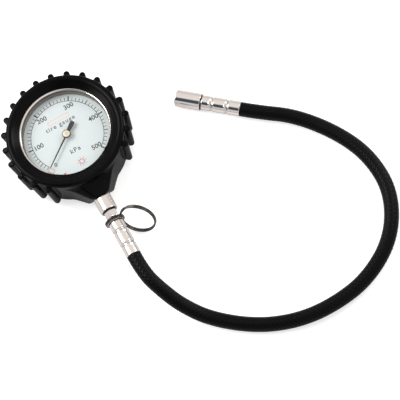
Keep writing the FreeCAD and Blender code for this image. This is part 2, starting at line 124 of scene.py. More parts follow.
world = bpy.data.worlds.new("studio")
bpy.context.scene.world = world
world.use_nodes = True
tree = world.node_tree
background = tree.nodes["Background"]
background.inputs["Strength"].default_value = 1.0
direction = node(tree, "ShaderNodeTexCoord").outputs["Generated"]
card_way = Vector((-0.50, -0.30, 0.81)).normalized()
toward = node(tree, "ShaderNodeVectorMath", [(0, direction), (1, card_way)], operation="DOT_PRODUCT")
card = node(tree, "ShaderNodeMapRange",
            [("Value", toward.outputs["Value"]), ("From Min", 0.87), ("From Max", 0.98)],
            interpolation_type="SMOOTHSTEP")
height = node(tree, "ShaderNodeSeparateXYZ", [("Vector", direction)]).outputs["Z"]
room = node(tree, "ShaderNodeValToRGB", [("Fac", height)])
for place, colour in ((0.0, "#8c8c90"), (0.12, "#f4f2f2"), (0.34, "#dfe3ea"), (0.60, "#fff8f2"),
                      (1.0, "#fffaf6")):
    stop = room.color_ramp.elements[0] if place == 0.0 else room.color_ramp.elements.new(place)
    stop.position = place
    stop.color = linear(colour)
shaded = node(tree, "ShaderNodeMix", [("Factor", card.outputs["Result"]), ("A", room.outputs["Color"]),
                                      ("B", linear("#46525e"))], data_type="RGBA")
tree.links.new(shaded.outputs[2], background.inputs["Color"])


def soft_box(name, place, aim, size, power):
    """A rectangular soft box that faces a point."""
    lamp = bpy.data.objects.new(name, bpy.data.lights.new(name, "AREA"))
    lamp.data.shape = "RECTANGLE"
    lamp.data.size, lamp.data.size_y = size
    lamp.data.energy = power
    lamp.location = place
    lamp.rotation_euler = (Vector(place) - Vector(aim)).to_track_quat("Z", "Y").to_euler()
    bpy.context.collection.objects.link(lamp)


soft_box("key_soft_box", (-0.55, 0.45, 0.85), (0.03, -0.05, 0.0), (0.80, 0.55), 9.0)
soft_box("fill_soft_box", (0.85, 0.10, 0.55), (0.03, -0.05, 0.0), (0.30, 0.50), 3.0)

# --- Hose ---------------------------------------------------------------------------------------
# A rubber air hose under a black polyester braid: twelve flat tapes of yarn each way round, laid over
# and under each other at about 42 degrees to the hose. It is crimped into a ferrule at both ends.
route = [
    (0, -90.8, 17), (0, -104.3, 17), (4.3, -118.1, 15.2), (10.5, -131.9, 10.4), (22.2, -147.7, 5.6),
    (43.9, -165.4, 4.8), (66.9, -175.5, 4.8), (91, -178.5, 4.8), (118.3, -174.8, 4.8),
    (144.4, -159.3, 4.8), (159.8, -133.4, 4.8), (160.2, -105.6, 4.8), (150.7, -81.2, 4.8),
    (133.2, -57.0, 4.9), (114.379, -43.007, 5.6), (105.447, -34.993, 5.6)]
hose_radius, tapes, braid_pitch, hose_length = 4.75, 12, 2.8, 0.345


def spline_points(points):
    """Points read from one smooth NURBS line whose control points are given in millimetres."""
    curve = bpy.data.curves.new("line", "CURVE")
    curve.dimensions = "3D"
    curve.resolution_u = 24
    spline = curve.splines.new("NURBS")
    spline.points.add(len(points) - 1)
    for control, point in zip(spline.points, points):
        control.co = (point[0] / 1000, point[1] / 1000, point[2] / 1000, 1)
    spline.order_u = 3
    spline.use_endpoint_u = True
    holder = bpy.data.objects.new("line", curve)
    bpy.context.collection.objects.link(holder)
    mesh = bpy.data.meshes.new_from_object(holder)
    line = np.array([vertex.co for vertex in mesh.vertices]) * 1000
    bpy.data.objects.remove(holder)
    bpy.data.meshes.remove(mesh)
    return line


def even_points(line, step):
    """The same line at even steps along it, with the distance of each point."""
    along = np.concatenate([[0], np.cumsum(np.linalg.norm(np.diff(line, axis=0), axis=1))])
    count = int(round(along[-1] / step))
    places = np.linspace(0, along[-1], count + 1)
    return np.stack([np.interp(places, along, line[:, k]) for k in range(3)], axis=1), places


def carried_frames(line, first_side):
    """The direction, side and top of the line at each point, turned as little as possible."""
    ahead = np.gradient(line, axis=0)
    ahead /= np.linalg.norm(ahead, axis=1)[:, None]
    side = np.array(first_side, float)
    sides = []
    for way in ahead:
        side = side - way * side.dot(way)
        side /= np.linalg.norm(side)
        sides.append(side)
    sides = np.array(sides)
    return ahead, sides, np.cross(ahead, sides)


def wrapped(sections, closed_line=False, caps=True):
    """Vertices and faces of a skin over rings of points, capped at both ends."""
    rings, around = sections.shape[:2]
    rows = np.arange(rings if closed_line else rings - 1)
    low = (rows[:, None] * around + np.arange(around)[None])
    high = (((rows + 1) % rings)[:, None] * around + np.arange(around)[None])
    faces = np.stack([low, np.roll(low, -1, 1), np.roll(high, -1, 1), high], axis=2).reshape(-1, 4).tolist()
    if caps and not closed_line:
        faces.append(list(range(around))[::-1])
        faces.append(list(range((rings - 1) * around, rings * around)))
    return sections.reshape(-1, 3), faces


def piece(name, points, faces, material, body="gauge", stands_for=(), crease=None):
    """A smooth mesh from points in millimetres, on its body."""
    mesh = bpy.data.meshes.new(name)
    mesh.from_pydata((np.asarray(points) / 1000).tolist(), [], faces)
    mesh.materials.append(material)
    shape = bmesh.new()
    shape.from_mesh(mesh)
    bmesh.ops.recalc_face_normals(shape, faces=shape.faces)
    shape.to_mesh(mesh)
    shape.free()
    mesh.shade_smooth()
    if crease:
        mesh.set_sharp_from_angle(angle=math.radians(crease))
    made = bpy.data.objects.new(name, mesh)
    bpy.context.collection.objects.link(made)
    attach(made, body)
    if stands_for:
        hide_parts(*stands_for)
    return made


hose_line = spline_points(route)
line, along = even_points(hose_line, braid_pitch / 8)
ahead, sides, tops = carried_frames(line, (1, 0, 0))
around = tapes * 8
turn_index = np.arange(around) / around * tapes
one_way = turn_index[None] + along[:, None] / braid_pitch
other_way = turn_index[None] - along[:, None] / braid_pitch
crown_one = 1 - np.abs(2 * (one_way - np.floor(one_way)) - 1) ** 2.6
crown_other = 1 - np.abs(2 * (other_way - np.floor(other_way)) - 1) ** 2.6
lift_one = np.cos(math.pi * (other_way - 0.5)) * (-1) ** np.floor(one_way)
lift_other = -np.cos(math.pi * (one_way - 0.5)) * (-1) ** np.floor(other_way)
relief = np.maximum(0.26 * crown_one + 0.13 * lift_one, 0.26 * crown_other + 0.13 * lift_other)
radius = hose_radius - 0.39 + relief
angle = np.arange(around) / around * 2 * math.pi
sections = line[:, None] + radius[:, :, None] * (np.cos(angle)[None, :, None] * sides[:, None]
                                                + np.sin(angle)[None, :, None] * tops[:, None])
for end, inward in ((0, -1), (-1, 1)):
    tuck = sections[end] + (ahead[end] * inward * 0.02)
    sections[end] = line[end] + (tuck - line[end]) * (4.15 / 4.7)
points, faces = wrapped(sections)

# Black braided polyester: satin yarns over rubber that hardly shows, each with a soft highlight along it that
# is partly painted: the colour is lighter on each yarn's crown and darker between yarns, as painted highlight
# and painted shade.
# The yarns, 0.4 mm wide, follow the tape that lies on top. u counts pitches along, v tapes around.
braid, tree, shader = surface("braided_polyester", Roughness=0.17, Specular_IOR_Level=0.08)
lay = node(tree, "ShaderNodeUVMap", uv_map="lay").outputs["UV"]
split = node(tree, "ShaderNodeSeparateXYZ", [("Vector", lay)])
ways = []
for operation in ("ADD", "SUBTRACT"):
    way = node(tree, "ShaderNodeMath", [(0, split.outputs["Y"]), (1, split.outputs["X"])],
               operation=operation)
    yarns = node(tree, "ShaderNodeMath", [(0, way.outputs[0]), (1, 2 * math.pi * 4)], operation="MULTIPLY")
    ways.append((way, node(tree, "ShaderNodeMath", [(0, yarns.outputs[0])], operation="COSINE")))
floors = [node(tree, "ShaderNodeMath", [(0, way.outputs[0])], operation="FLOOR") for way, wave in ways]
total = node(tree, "ShaderNodeMath", [(0, floors[0].outputs[0]), (1, floors[1].outputs[0])], operation="ADD")
half = node(tree, "ShaderNodeMath", [(0, total.outputs[0]), (1, 0.5)], operation="MULTIPLY")
parity = node(tree, "ShaderNodeMath", [(0, half.outputs[0])], operation="FRACT")
under = node(tree, "ShaderNodeMath", [(0, parity.outputs[0]), (1, 0.25)], operation="GREATER_THAN")
yarn = node(tree, "ShaderNodeMix", [("Factor", under.outputs[0]), ("A", ways[0][1].outputs[0]),
                                    ("B", ways[1][1].outputs[0])])
fuzz = noise(tree, 0.5, 3.0)
# Painted highlight and painted shade: each yarn's colour is lighter on its crown and darker in the dips
# beside it.
shade = node(tree, "ShaderNodeMapRange", [("Value", yarn.outputs[0]), ("From Min", -1.0), ("To Min", 0.45)])
shade_fuzz = node(tree, "ShaderNodeMath", [(0, shade.outputs[0]), (1, fuzz)], operation="MULTIPLY")
colour = between(tree, shade_fuzz.outputs[0], "#010101", "#0b0b0c")
tree.links.new(colour, shader.inputs["Base Color"])
ribs = node(tree, "ShaderNodeBump", [("Height", yarn.outputs[0]), ("Strength", 0.20), ("Distance", 0.00006)])
tree.links.new(ribs.outputs[0], shader.inputs["Normal"])

hose = piece("braided_hose", points, faces, braid, stands_for=("hose",))
layer = hose.data.uv_layers.new(name="lay")
starts = np.zeros(len(hose.data.loops), np.int64)
hose.data.loops.foreach_get("vertex_index", starts)
loop_u = along[starts // around] / braid_pitch
loop_v = (starts % around) / around * tapes
for face in hose.data.polygons:
    corners = range(face.loop_start, face.loop_start + face.loop_total)
    if face.loop_total == 4 and max(loop_v[i] for i in corners) - min(loop_v[i] for i in corners) > tapes / 2:
        for i in corners:
            loop_v[i] += tapes if loop_v[i] < tapes / 2 else 0
layer.data.foreach_set("uv", np.stack([loop_u, loop_v], axis=1).ravel())


# --- Ferrules -----------------------------------------------------------------------------------
# A chromed brass sleeve over each hose end, squeezed by two rolled grooves so that the hose is held
# on the nipple's tail inside it.
ferrule_radius, ferrule_bore, crimps, crimp_depth = 5.0, 4.4, (6.7, 16.9), 0.5
stem_height = 17.0
chuck_mouth, chuck_turn = np.array([73.517, -6.343, 5.6]), math.radians(-41.9)


def rounded(profile, size, bend=0.25):
    """A closed outline of (radius, length) points with each sharp corner rounded off."""
    count, smooth = len(profile), []
    for i, corner in enumerate(profile):
        corner = np.array(corner[:2], float)
        before, after = (np.array(profile[i - 1][:2], float), np.array(profile[(i + 1) % count][:2], float))
        back, ahead_way = before - corner, after - corner
        back_length, ahead_length = np.linalg.norm(back), np.linalg.norm(ahead_way)
        back, ahead_way = back / back_length, ahead_way / ahead_length
        turn_angle = math.acos(max(-1, min(1, -back.dot(ahead_way))))
        own = profile[i][2] if len(profile[i]) > 2 else size
        reach = min(own, 0.42 * back_length, 0.42 * ahead_length)
        if turn_angle < bend or own == 0:
            smooth.append(corner)
            continue
        start, stop = corner + back * reach, corner + ahead_way * reach
        smooth.append(corner + back * min(reach * 1.25, 0.48 * back_length))
        for share in (0, 0.2, 0.4, 0.6, 0.8, 1):
            smooth.append((1 - share) ** 2 * start + 2 * share * (1 - share) * corner + share ** 2 * stop)
        smooth.append(corner + ahead_way * min(reach * 1.25, 0.48 * ahead_length))
    return np.array(smooth)


def lathe(profile, steps=96, limit=None):
    """A ring of sections turned about +Z from a closed outline of (radius, length) points."""
    angles = np.arange(steps) / steps * 2 * math.pi
    radii = np.repeat(profile[None, :, 0], steps, 0)
    if limit is not None:
        radii = np.minimum(radii, limit(angles[:, None], profile[None, :, 1]))
    sections = np.stack([radii * np.cos(angles)[:, None], radii * np.sin(angles)[:, None],
                         np.repeat(profile[None, :, 1], steps, 0)], axis=2)
    return wrapped(sections, closed_line=True)


def along_stem(points):
    """From a turned piece's own frame to the stem, whose length runs along -Y."""
    points = np.asarray(points)
    return np.stack([points[:, 0], -points[:, 2], stem_height + points[:, 1]], axis=1)


def along_chuck(points):
    """From a turned piece's own frame to the chuck, whose length runs from its mouth to the hose."""
    points = np.asarray(points)
    c, s = math.cos(chuck_turn), math.sin(chuck_turn)
    return chuck_mouth + np.stack([points[:, 2] * c - points[:, 0] * s, points[:, 2] * s + points[:, 0] * c,
                                   points[:, 1]], axis=1)


def ferrule_outline(length):
    """The sleeve's wall, with two rolled grooves that swell a little at their lips."""
    outer = []
    for place in np.linspace(0.55, length - 0.55, 200):
        dip = sum(crimp_depth * math.exp(-((place - groove) / 0.80) ** 4)
                  - 0.10 * math.exp(-((abs(place - groove) - 1.45) / 0.45) ** 2) for groove in crimps)
        outer.append((ferrule_radius - 0.10 - dip, place))
    edge = [(ferrule_radius - 0.42, length), (ferrule_radius - 0.24, length - 0.06),
            (ferrule_radius - 0.12, length - 0.24)]
    front = [(ferrule_radius - 0.12, 0.24), (ferrule_radius - 0.24, 0.06), (ferrule_radius - 0.42, 0)]
    return np.array([(ferrule_bore, 0.0), (ferrule_bore, length)] + edge + outer[::-1] + front)


# Bright chrome plate on polished brass: mirror-like, faintly warm, with hair-fine handling marks. Painted
# shade in its grooves and corners, darker where ambient occlusion finds them, draws them as thin dark lines.
chrome, tree, shader = surface("polished_chrome_plate", Metallic=1.0)
haze = noise(tree, 3.0, 4.0)
gloss = node(tree, "ShaderNodeMapRange", [("Value", haze), ("To Min", 0.05), ("To Max", 0.13)])
tint = between(tree, haze, "#e6dad1", "#e0dcda")
marks = noise(tree, 0.35, 2.0)
scuff = node(tree, "ShaderNodeBump", [("Height", marks), ("Strength", 0.04), ("Distance", 0.00002)])
# Painted shade: the base colour goes to near black where ambient occlusion finds a groove or corner.
corners = node(tree, "ShaderNodeAmbientOcclusion", [("Distance", 0.0016)], samples=8)
unshaded_share = node(tree, "ShaderNodeMapRange",
             [("Value", corners.outputs["AO"]), ("From Min", 0.60), ("From Max", 0.94)])
tint_with_painted_shade = node(tree, "ShaderNodeMix", [("Factor", unshaded_share.outputs[0]), ("A", linear("#1d1a18")),
                                      ("B", tint)], data_type="RGBA")
tree.links.new(tint_with_painted_shade.outputs[2], shader.inputs["Base Color"])
tree.links.new(gloss.outputs[0], shader.inputs["Roughness"])
tree.links.new(scuff.outputs[0], shader.inputs["Normal"])

points, faces = lathe(ferrule_outline(24.9), 96)
piece("stem_ferrule", along_stem(points + np.array([0, 0, 65.9])), faces, chrome,
      stands_for=("gauge_ferrule",), crease=60)
points, faces = lathe(ferrule_outline(25.6), 96)
chuck_sleeve = piece("valve_end_ferrule", along_chuck(points + np.array([0, 0, 17.3])), faces, chrome,
                     stands_for=("chuck_ferrule",), crease=60)

# --- Chuck --------------------------------------------------------------------------------------
# A straight chromed brass body that pushes onto a tyre valve. Inside its mouth are a rubber seal
# and the pin that opens the valve; a thin black washer parts it from the ferrule.
chuck_outline = [(4.1, 9.0, 0), (4.1, 0.0, 0.35), (5.55, 0.0, 0.45), (5.55, 16.6, 0.4), (3.2, 16.6, 0),
                 (3.2, 12.8, 0), (1.9, 12.8, 0), (1.9, 11.6, 0), (4.3, 11.6, 0), (4.3, 9.0, 0)]
points, faces = lathe(rounded(chuck_outline, 0.1), 120)
chuck_shell = piece("valve_chuck", along_chuck(points), faces, chrome, stands_for=("chuck_body",),
                    crease=40)


def dressed(name, material):
    """Give a CAD node a material in place of its plain one."""
    for place_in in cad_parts[name].material_slots:
        place_in.material = material


# Moulded nitrile rubber: near black and matt, with a faint grain.
nitrile, tree, shader = surface("moulded_nitrile_rubber", Roughness=0.6, Specular_IOR_Level=0.2)
grain = noise(tree, 0.4, 3.0)
colour = between(tree, grain, "#0c0c0d", "#1a1a1b")
tree.links.new(colour, shader.inputs["Base Color"])
bump = node(tree, "ShaderNodeBump", [("Height", grain), ("Strength", 0.2), ("Distance", 0.00003)])
tree.links.new(bump.outputs[0], shader.inputs["Normal"])
for name in ("chuck_seal", "chuck_washer", "neck_washer"):
    dressed(name, nitrile)

# Turned brass: yellow, satin, with fine tool rings that show as a soft streak.
brass, tree, shader = surface("turned_brass", Metallic=1.0)
rings = noise(tree, 0.3, 2.0)
stain = noise(tree, 4.0, 3.0)
colour = between(tree, stain, "#b08a45", "#dcc083")
gloss = node(tree, "ShaderNodeMapRange", [("Value", rings), ("To Min", 0.22), ("To Max", 0.4)])
tree.links.new(colour, shader.inputs["Base Color"])
tree.links.new(gloss.outputs[0], shader.inputs["Roughness"])
for name in ("depressor_pin", "chuck_nipple", "socket_block", "movement_back_plate", "movement_front_plate",
             "movement_pillars", "sector_gear", "link", "tube_tip"):
    dressed(name, brass)

# --- Boot ---------------------------------------------------------------------------------------
# A thick moulded rubber boot stretched over the case: a round cup with a lip over the bezel and a
# raised bumper round it, lugs up its side for grip, and a tapered faceted nose over the stem.
boot_cell = 0.45
lug_pitch, lug_phase, lug_first, lug_last = 15.0, 2.2, -45.0, 225.0
lug_reach, lug_growth, lug_low, lug_height = 40.2, 1.95, 3.2, 27.1
back_radius, side_growth, face_height, boot_height = 35.7, 1.8, 30.6, 33.2
bumper_radius, bumper_place, bumper_height = 2.5, 35.9, 30.65
pocket_radius, lip_radius, lip_shift = 31.45, 29.55, (-0.25, 0.5)


def smooth_max(a, b, blend):
    """The larger of two distances, its crease rounded over about the blend's size."""
    share = np.clip(0.5 + 0.5 * (a - b) / blend, 0, 1)
    return b + (a - b) * share + blend * share * (1 - share)


def smooth_min(a, b, blend):
    return -smooth_max(-a, -b, blend)


def lug_distance(x, y, z):
    """Distance to the nearest lug: a bar up the side with a round nose, wider towards the back."""
    angle = np.degrees(np.arctan2(y, x)) - lug_phase
    angle = (angle - lug_first + 360 + lug_pitch / 2) % 360 + lug_first - lug_pitch / 2
    index = np.clip(np.round((angle - lug_first) / lug_pitch), 0, (lug_last - lug_first) / lug_pitch)
    off = np.radians(angle - lug_first - index * lug_pitch)
    out = np.hypot(x, y)
    u, v = out * np.cos(off), out * np.sin(off)
    share = np.clip((z - lug_low) / lug_height, 0, 1)
    half = 2.15 - 0.15 * share
    reach = lug_reach + lug_growth * share - half
    bar = np.hypot(u - np.clip(u, 34, reach), v) - half
    front_slope = 30.25 - z - 0.10 * np.maximum(out - 38, 0)
    return smooth_max(smooth_max(bar, -front_slope, 0.9), 3.3 - z, 1.2)


def spout_distance(x, y, z):
    """Distance to the nose: two sides, a top, two chamfers and a slanted end."""
    share = np.clip((-27.0 - y) / 18.4, -0.5, 1.2)
    half = 21.0 - 14.0 * share
    top, low = 30.2 - 5.4 * share, 2.0 + 7.2 * share
    bevel = 6.0 - 3.6 * share
    side = (np.abs(x) - half) * 0.80
    shoulder = (np.abs(x) - half + z - top + bevel) * 0.66
    end = (-y - (43.2 + 4.35 * (z - 9.2) / 15.4)) * 0.96
    form = smooth_max(smooth_max(side, z - top, 0.7), shoulder, 0.7)
    form = smooth_max(smooth_max(form, low - z, 0.8), end, 0.9)
    return smooth_max(form, y + 20.0, 0.5)


def boot_distance(p):
    x, y, z = p[..., 0], p[..., 1], p[..., 2]
    out = np.hypot(x, y)
    side = out - (back_radius + side_growth * (z - 0.8) / 25.8)
    top = face_height + 0.52 * np.clip(out - 30.6, 0, 3.6) - 0.35 * np.clip(30.6 - out, 0, 1.7)
    body = smooth_max(side, z - top, 1.2)
    body = smooth_min(body, np.hypot(out - bumper_place, z - bumper_height) - bumper_radius, 0.6)
    body = smooth_max(body, -z, 1.2)
    form = smooth_min(body, lug_distance(x, y, z), 0.9)
    form = smooth_min(form, spout_distance(x, y, z), 2.2)
    form = smooth_max(form, z - boot_height, 0.2)
    pocket = np.maximum(out - pocket_radius, np.abs(z - 16.1) - 13.5)
    opening = np.maximum(np.hypot(x - lip_shift[0], y - lip_shift[1]) - lip_radius, 28.0 - z)
    form = smooth_max(form, -np.minimum(pocket, opening), 0.5)
    hole = np.maximum(np.hypot(x, z - 17.0) - 5.74, y + 20.0)
    return smooth_max(form, -hole, 0.6)


def skin_of(distance, low, high, cell):
    """Vertices and faces of the surface where a distance is nought, from a grid of cells."""
    counts = [int(math.ceil((b - a) / cell)) + 1 for a, b in zip(low, high)]
    axes = [a + cell * np.arange(n) for a, n in zip(low, counts)]
    grid = np.stack(np.meshgrid(*axes, indexing="ij"), axis=3)
    values = distance(grid)
    inside = values < 0
    total_edges = np.zeros([n - 1 for n in counts])
    centre = np.zeros([n - 1 for n in counts] + [3])
    spans = (slice(0, -1), slice(1, None))
    for axis in range(3):
        others = [k for k in range(3) if k != axis]
        for a in (0, 1):
            for b in (0, 1):
                pick = [None] * 3
                pick[others[0]], pick[others[1]] = spans[a], spans[b]
                near, far = list(pick), list(pick)
                near[axis], far[axis] = spans[0], spans[1]
                near, far = tuple(near), tuple(far)
                cut = inside[near] != inside[far]
                gap = np.where(cut, values[near] - values[far], 1.0)
                share = np.where(cut, values[near] / gap, 0.0)
                where = grid[near] + share[..., None] * (grid[far] - grid[near])
                centre += np.where(cut[..., None], where, 0)
                total_edges += cut
    used = total_edges > 0
    number = -np.ones(used.shape, np.int64)
    number[used] = np.arange(used.sum())
    points = centre[used] / total_edges[used][:, None]
    faces = []
    for axis in range(3):
        others = [k for k in range(3) if k != axis]
        near, far = [slice(1, -1)] * 3, [slice(1, -1)] * 3
        near[axis], far[axis] = slice(0, -1), slice(1, None)
        cut = np.argwhere(inside[tuple(near)] != inside[tuple(far)])
        cut[:, others[0]] += 1
        cut[:, others[1]] += 1
        corners = []
        for a, b in ((0, 0), (1, 0), (1, 1), (0, 1)):
            cell_at = cut.copy()
            cell_at[:, others[0]] -= a
            cell_at[:, others[1]] -= b
            corners.append(number[tuple(cell_at.T)])
        quads = np.stack(corners, axis=1)
        out_first = inside[tuple(cut.T)]
        flip = out_first if axis != 1 else ~out_first
        quads[~flip] = quads[~flip][:, ::-1]
        faces.append(quads)
    return points, np.concatenate(faces)


def settle(points, distance, rounds=4, step=0.02):
    """Move points onto the surface."""
    for _ in range(rounds):
        slope = np.stack([distance(points + step * axis) - distance(points - step * axis)
                          for axis in np.eye(3)], axis=1) / (2 * step)
        size = np.maximum(np.linalg.norm(slope, axis=1), 0.3)
        move = distance(points) / size ** 2
        points = points - np.clip(move, -0.3, 0.3)[:, None] * slope
    return points


# Moulded rubber: near black with a satin bloom, an uneven fine grain, and paler where it is rubbed.
rubber, tree, shader = surface("moulded_boot_rubber", Specular_IOR_Level=0.06)
grain = noise(tree, 0.6, 4.0)
bloom = noise(tree, 9.0, 3.0)
colour = between(tree, bloom, "#020202", "#090909")
gloss = node(tree, "ShaderNodeMapRange", [("Value", bloom), ("To Min", 0.18), ("To Max", 0.30)])
bump = node(tree, "ShaderNodeBump", [("Height", grain), ("Strength", 0.18), ("Distance", 0.00006)])
tree.links.new(colour, shader.inputs["Base Color"])
tree.links.new(gloss.outputs[0], shader.inputs["Roughness"])
tree.links.new(bump.outputs[0], shader.inputs["Normal"])

points, faces = skin_of(boot_distance, (-43.2, -50.2, -1.1), (43.2, 43.2, 34.3), boot_cell)
points = settle(points, boot_distance)
points[:, 2] = np.clip(points[:, 2], 0.0, boot_height)
piece("rubber_cup", points, faces.tolist(), rubber, stands_for=("rubber_boot",))

# --- Case, bezel and window ---------------------------------------------------------------------
# A drawn steel case, painted black, with a chromed bezel rolled over its rim. The bezel's bead holds
# a flat acrylic window down on a grey spacer ring, which stands on the dial.
bezel_outline = [(30.85, 23.5, 0), (31.35, 23.5, 0), (31.35, 29.15, 0.35), (30.9, 29.6, 0.3),
                 (29.5, 29.6, 0.4), (28.9, 29.4, 0.3), (28.62, 29.05, 0.1), (30.85, 29.0, 0)]
points, faces = lathe(rounded(bezel_outline, 0.2), 240)
piece("rolled_bezel", points, faces, chrome, stands_for=("bezel_ring",), crease=50)

window_outline = [(0.0, 27.2, 0), (29.65, 27.2, 0.2), (29.65, 28.98, 0.25), (0.0, 28.98, 0)]
window_points = rounded(window_outline[1:3] + [(0.02, 28.98, 0), (0.02, 27.2, 0)], 0.2)
points, faces = lathe(window_points, 160)
# Clear acrylic: the dial shows straight through it, and it adds a thin bright reflection.
clear = bpy.data.materials.new("clear_acrylic")
clear.use_nodes = True
tree = clear.node_tree
tree.nodes.clear()
see_through = node(tree, "ShaderNodeBsdfTransparent", [("Color", linear("#fafbfb"))])
wave = noise(tree, 18.0, 1.0)
smear = node(tree, "ShaderNodeMapRange", [("Value", wave), ("To Min", 0.03), ("To Max", 0.05)])
shine = node(tree, "ShaderNodeBsdfAnisotropic", [("Roughness", smear.outputs[0])])
edge_on = node(tree, "ShaderNodeFresnel", [("IOR", 1.49)])
front = node(tree, "ShaderNodeNewGeometry").outputs["Backfacing"]
outside = node(tree, "ShaderNodeMath", [(0, 1.0), (1, front)], operation="SUBTRACT")
amount = node(tree, "ShaderNodeMath", [(0, edge_on.outputs[0]), (1, outside.outputs[0])],
              operation="MULTIPLY")
mixed = node(tree, "ShaderNodeMixShader",
             [(0, amount.outputs[0]), (1, see_through.outputs[0]), (2, shine.outputs[0])])
node(tree, "ShaderNodeOutputMaterial", [("Surface", mixed.outputs[0])])
piece("flat_window", points, faces, clear, stands_for=("window_lens",), crease=40)

# Moulded ABS, satin, a warm grey made dark so that the ring's inner wall at the window's edge also stands for
# the shade there: partly its own colour, partly painted shade.
abs_grey_and_painted_shade, tree, shader = surface("moulded_grey_abs_and_painted_shade", Roughness=0.45)
cloud = noise(tree, 5.0, 3.0)
colour = between(tree, cloud, "#5c5750", "#716b62")
tree.links.new(colour, shader.inputs["Base Color"])
dressed("spacer_ring", abs_grey_and_painted_shade)

# Drawn steel under black stove enamel: a thin even gloss with a slight orange peel.
stove_black, tree, shader = surface("black_stove_enamel", Roughness=0.35)
peel = noise(tree, 1.2, 1.0)
colour = between(tree, peel, "#0e0e0f", "#161617")
bump = node(tree, "ShaderNodeBump", [("Height", peel), ("Strength", 0.15), ("Distance", 0.00004)])
tree.links.new(colour, shader.inputs["Base Color"])
tree.links.new(bump.outputs[0], shader.inputs["Normal"])
dressed("case_shell", stove_black)

# --- Movement -----------------------------------------------------------------------------------
# A Bourdon tube of thin bronze bends as the pressure rises. Its tip pulls a brass link and sector,
# and the sector turns the steel pinion shaft against a hair spring. Zinc-plated screws hold it.
# Rolled phosphor bronze: redder than brass, with long soft drawing streaks.
bronze, tree, shader = surface("rolled_phosphor_bronze", Metallic=1.0)
place = node(tree, "ShaderNodeTexCoord").outputs["Object"]
stretch = node(tree, "ShaderNodeMapping",
               [("Vector", place), ("Scale", (per_mm(6.0), per_mm(6.0), per_mm(0.3)))])
streak = node(tree, "ShaderNodeTexNoise", [("Vector", stretch.outputs[0]), ("Scale", 1.0), ("Detail", 3.0)])
colour = between(tree, streak.outputs["Fac"], "#9a6a3c", "#c4925c")
gloss = node(tree, "ShaderNodeMapRange",
             [("Value", streak.outputs["Fac"]), ("To Min", 0.2), ("To Max", 0.38)])
tree.links.new(colour, shader.inputs["Base Color"])
tree.links.new(gloss.outputs[0], shader.inputs["Roughness"])
for name in ("bourdon_tube", "hair_spring"):
    dressed(name, bronze)

# Zinc-plated steel: pale, slightly blue, cloudy.
zinc, tree, shader = surface("zinc_plated_steel", Metallic=1.0)
cloud = noise(tree, 1.0, 3.0)
colour = between(tree, cloud, "#a9aeb4", "#cfd3d6")
gloss = node(tree, "ShaderNodeMapRange", [("Value", cloud), ("To Min", 0.25), ("To Max", 0.42)])
tree.links.new(colour, shader.inputs["Base Color"])
tree.links.new(gloss.outputs[0], shader.inputs["Roughness"])
for name in ("case_screws", "movement_screws", "pinion_shaft"):
    dressed(name, zinc)

# --- Dial ---------------------------------------------------------------------------------------
# A thin aluminium disc with a baked white enamel face, printed in black and red: an arc, a tick every
# 10 kPa, numerals every 100, a small box for zero, and two plain red marks.
dial_top, hundred_angle, per_hundred = 23.1, 96.0, 56.0

# Baked enamel: a cool off-white, semi-gloss, very slightly uneven.
enamel, tree, shader = surface("baked_white_enamel", Roughness=0.4)
cloud = noise(tree, 12.0, 3.0)
colour = between(tree, cloud, "#d6dcdc", "#dde2e2")
tree.links.new(colour, shader.inputs["Base Color"])
dressed("dial_plate", enamel)


def ink(name, dark, pale):
    """Screen ink: matt, laid thin, so its colour varies a little."""
    made, tree, shader = surface(name, Roughness=0.6)
    thin = noise(tree, 0.5, 2.0)
    colour = between(tree, thin, dark, pale)
    tree.links.new(colour, shader.inputs["Base Color"])
    return made


black_ink = ink("black_screen_ink", "#17181a", "#2c2e31")
red_ink = ink("red_screen_ink", "#c23a3f", "#d9555a")
pink_ink = ink("pink_screen_ink", "#eab4b2", "#f0c6c4")
print_high = dial_top + 0.035


def on_dial(radius, clockwise):
    """A place on the dial, its angle counted clockwise from straight down, towards the stem."""
    turn_by = math.radians(-90 - clockwise)
    return np.array([radius * math.cos(turn_by), radius * math.sin(turn_by)])


def slab(outlines, low=dial_top + 0.004, high=print_high):
    """Thin printed shapes from flat outlines, as one mesh."""
    points, faces = [], []
    for outline in outlines:
        start, count = len(points), len(outline)
        points += [(x, y, low) for x, y in outline] + [(x, y, high) for x, y in outline]
        faces.append([start + i for i in range(count)][::-1])
        faces.append([start + count + i for i in range(count)])
        faces += [[start + i, start + (i + 1) % count, start + count + (i + 1) % count, start + count + i]
                  for i in range(count)]
    return points, faces


def stroke(ends, width):
    """A flat line between two places."""
    a, b = np.array(ends[0], float), np.array(ends[1], float)
    side = np.array([-(b - a)[1], (b - a)[0]]) / np.linalg.norm(b - a) * width / 2
    return [a - side, b - side, b + side, a + side]


def arc_pieces(radius, start, stop, width, step=2.0):
    """An arc line on the dial, as short blocks end to end."""
    count = int(math.ceil((stop - start) / step))
    angles = np.linspace(start, stop, count + 1)
    return [[on_dial(radius - width / 2, a), on_dial(radius - width / 2, b), on_dial(radius + width / 2, b),
             on_dial(radius + width / 2, a)] for a, b in zip(angles, angles[1:])]


scale_marks = arc_pieces(23.8, 56.0, 320.0, 0.34)
for value in range(30, 501, 10):
    clockwise = hundred_angle + (value - 100) / 100 * per_hundred
    reach, width = (26.9, 0.8) if value % 100 == 0 else (26.6, 0.5) if value % 50 == 0 else (26.0, 0.36)
    scale_marks.append(stroke((on_dial(23.7, clockwise), on_dial(reach, clockwise)), width))
points, faces = slab(scale_marks)
piece("dial_scale", points, faces, black_ink, crease=20)


